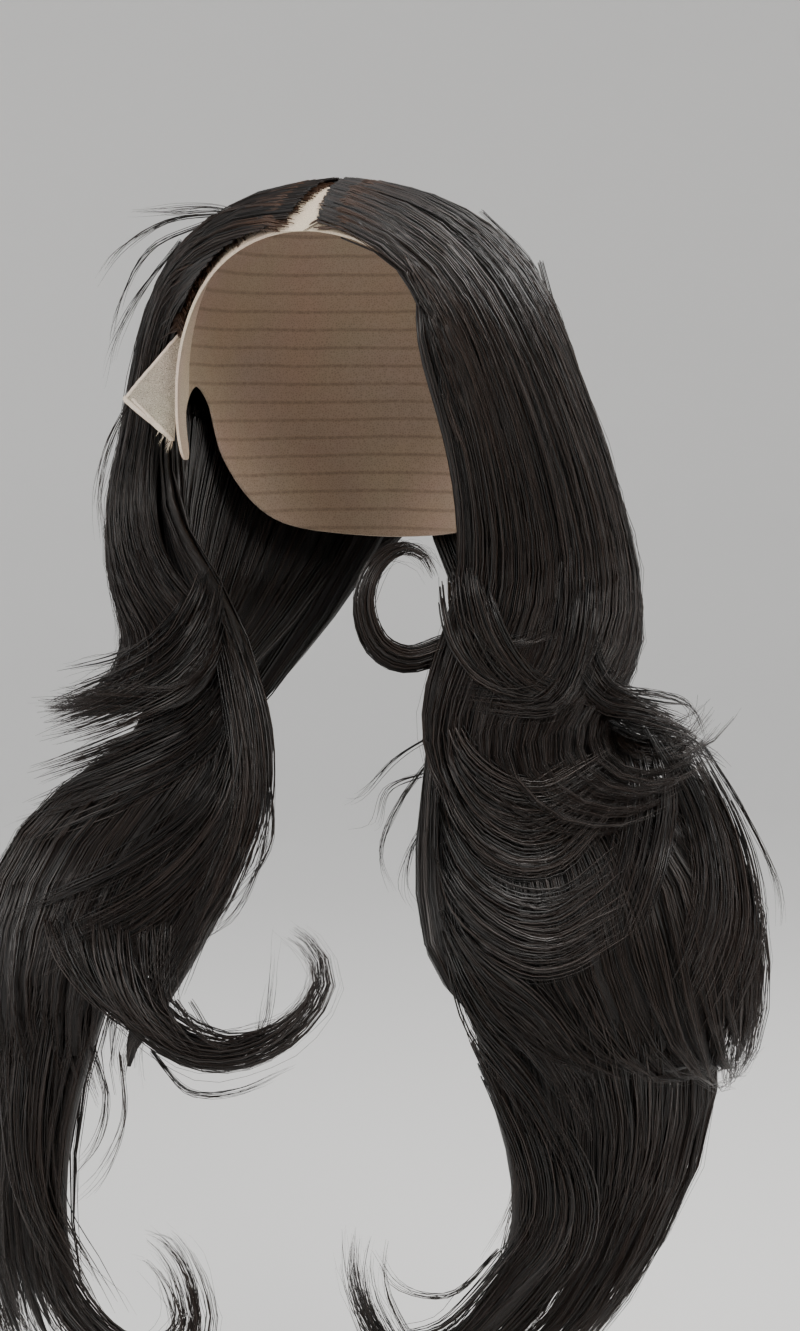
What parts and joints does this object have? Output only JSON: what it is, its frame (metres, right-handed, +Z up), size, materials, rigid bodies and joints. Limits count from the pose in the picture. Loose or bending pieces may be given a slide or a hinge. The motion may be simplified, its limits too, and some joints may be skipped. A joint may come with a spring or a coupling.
{
  "type": "lace front wig",
  "caption": "Long layered wavy wig with a centre parting, a lace front, folded lace ear tabs, flipped ends and single curls at cheek, chest and hem.",
  "frame": {"origin": "inside of the cap at the crown of the head, where the head carries it", "axes": "+Z up the wearer's head, the face opening towards -Y, the wearer's left towards +X"},
  "size_m": [0.3648, 0.2245, 0.5548],
  "materials": {
    "hair_fibre": "glossy near-black brown hair with a soft sheen",
    "cap_net": "matt stretch net",
    "lace": "fine nude lace, slightly see-through"
  },
  "bodies": {
    "root": {"wig_cap": "cap_net", "lace_front": "lace", "ear_tab_right": "lace", "ear_tab_left": "lace", "hair_right": "hair_fibre", "hair_left": "hair_fibre", "cheek_curl": "hair_fibre", "chest_curl": "hair_fibre", "end_curl_right": "hair_fibre", "end_curl_left": "hair_fibre"}
  },
  "joints": []
}
